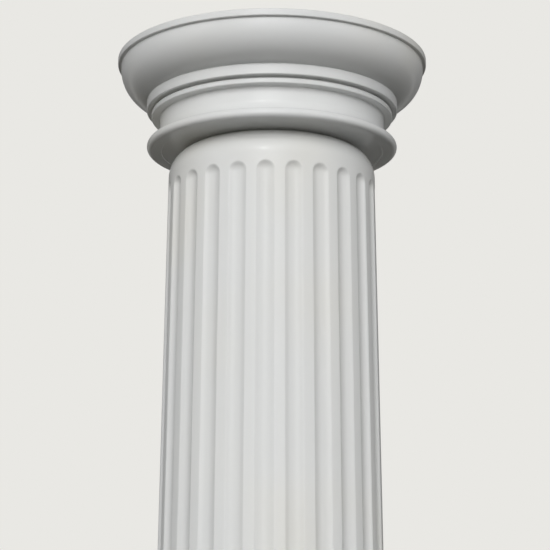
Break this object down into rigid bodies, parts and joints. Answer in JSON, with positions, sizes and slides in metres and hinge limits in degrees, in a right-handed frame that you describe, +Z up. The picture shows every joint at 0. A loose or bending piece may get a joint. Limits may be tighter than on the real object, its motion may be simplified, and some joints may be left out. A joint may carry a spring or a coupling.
{
  "type": "doric column",
  "caption": "Round tapered column with rounded-end flutes, a rounded shoulder under a moulded round capital, and a low round base.",
  "frame": {"origin": "centre of the base's underside, on the ground", "axes": "+Z up along the column's axis; -Y toward the viewer, with a flute centred on it; +X to the viewer's right"},
  "size_m": [0.3999, 0.4, 2.4],
  "materials": {
    "base": "white gelcoat, gloss",
    "shaft": "white gelcoat, gloss",
    "capital": "white gelcoat, gloss"
  },
  "bodies": {
    "root": {"base": "base", "shaft": "shaft", "capital": "capital"}
  },
  "joints": []
}
